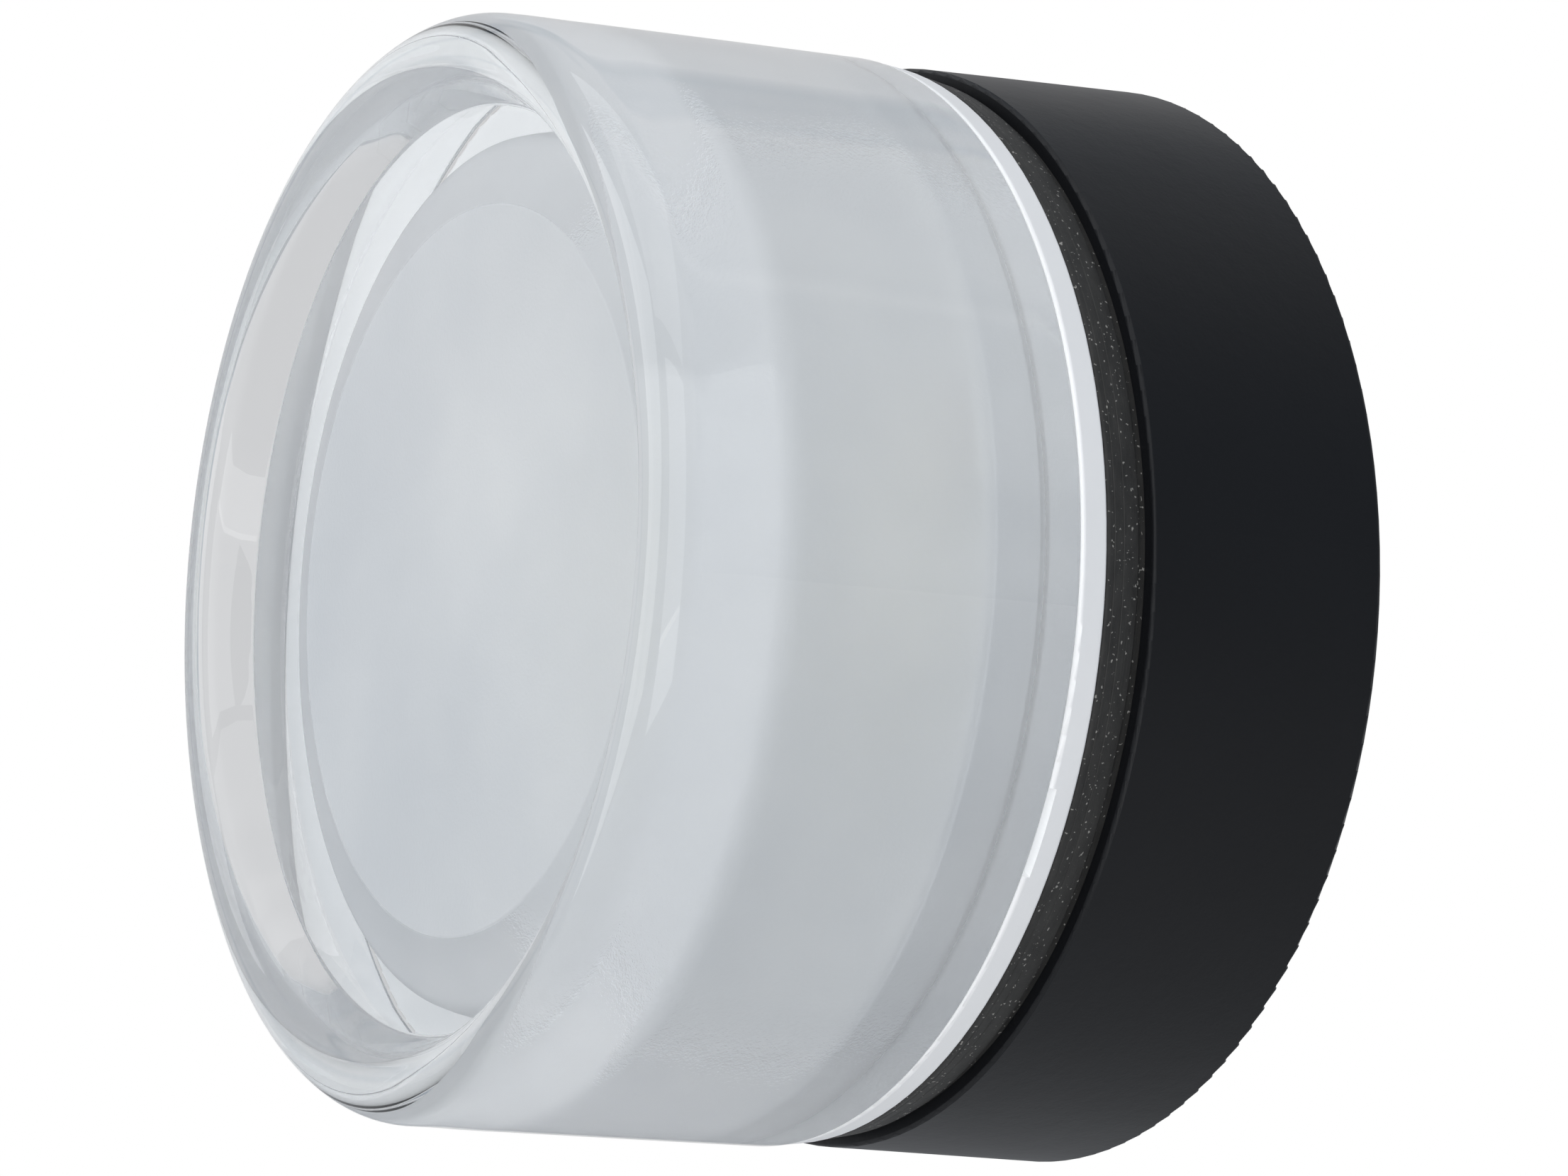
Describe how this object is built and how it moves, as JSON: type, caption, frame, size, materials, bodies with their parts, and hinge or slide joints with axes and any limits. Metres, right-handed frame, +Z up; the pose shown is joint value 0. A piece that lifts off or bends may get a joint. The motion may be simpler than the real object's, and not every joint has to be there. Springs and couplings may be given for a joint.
{
  "type": "wall light",
  "caption": "Round wall light with a thick clear-rimmed pressed-glass shade that unscrews from a black cast housing with a rubber seal.",
  "frame": {"origin": "centre of the wall contact face, on the lamp's axis, midway between the two wall screw holes", "axes": "+Y points into the wall along the lamp's axis, the glass faces -Y, +X runs along the two wall screw holes, +Z is up"},
  "size_m": [0.12, 0.0819, 0.12],
  "materials": {
    "black_housing": "black satin powder coat on die-cast aluminium",
    "black_rubber": "matt",
    "grey_rubber": "matt",
    "white_plastic": "satin",
    "natural_plastic": "satin",
    "white_paint": "gloss reflector paint",
    "driver_plastic": "matt",
    "circuit_board": "white solder mask",
    "green_board": "solder mask",
    "components": "moulded",
    "led_phosphor": "silicone",
    "zinc_steel": "zinc plated",
    "brass": "turned",
    "tin_plate": "tinned",
    "brown_insulation": "satin",
    "blue_insulation": "satin",
    "green_insulation": "satin, yellow stripe",
    "red_insulation": "satin",
    "black_insulation": "satin",
    "shade_glass": "clear pressed outside, sandblasted inside",
    "clear_adhesive": "silicone"
  },
  "bodies": {
    "housing": {"housing": "black_housing", "wall_gasket": "grey_rubber", "cable_grommet": "grey_rubber", "screw_seals": "grey_rubber", "thread_ring": "white_plastic", "front_gasket": "black_rubber", "led_tray": "white_paint", "tray_grommet": "grey_rubber", "tray_screws": "zinc_steel", "led_board": "circuit_board", "led_chips": "led_phosphor", "board_screws": "zinc_steel", "board_connector": "natural_plastic", "driver_case": "driver_plastic", "driver_lid": "driver_plastic", "driver_board": "green_board", "driver_components": "components", "driver_screws": "zinc_steel", "terminal_block": "natural_plastic", "terminal_clamps": "brass", "terminal_screws": "zinc_steel", "block_screws": "zinc_steel", "earth_lug": "tin_plate", "earth_screw": "brass", "live_lead": "brown_insulation", "neutral_lead": "blue_insulation", "earth_lead": "green_insulation", "led_lead_positive": "red_insulation", "led_lead_negative": "black_insulation"},
    "slip_ring": {"slip_ring": "white_plastic"},
    "glass_unit": {"glass_shade": "shade_glass", "glass_adhesive": "clear_adhesive", "screw_collar": "white_plastic"}
  },
  "joints": [
    {"name": "glass_lift", "type": "slide", "parent": "housing", "child": "slip_ring", "axis": [0, -1, 0], "range_m": [0, 0.0601]},
    {"name": "glass_turn", "type": "hinge", "parent": "slip_ring", "child": "glass_unit", "pos_m": [0, 0, 0], "axis": [0, -1, 0], "range_deg": [0, 1800]}
  ],
  "couplings": [
    {"joint": "glass_lift", "follows": "glass_turn", "m_per_rad": 0.0019099}
  ]
}
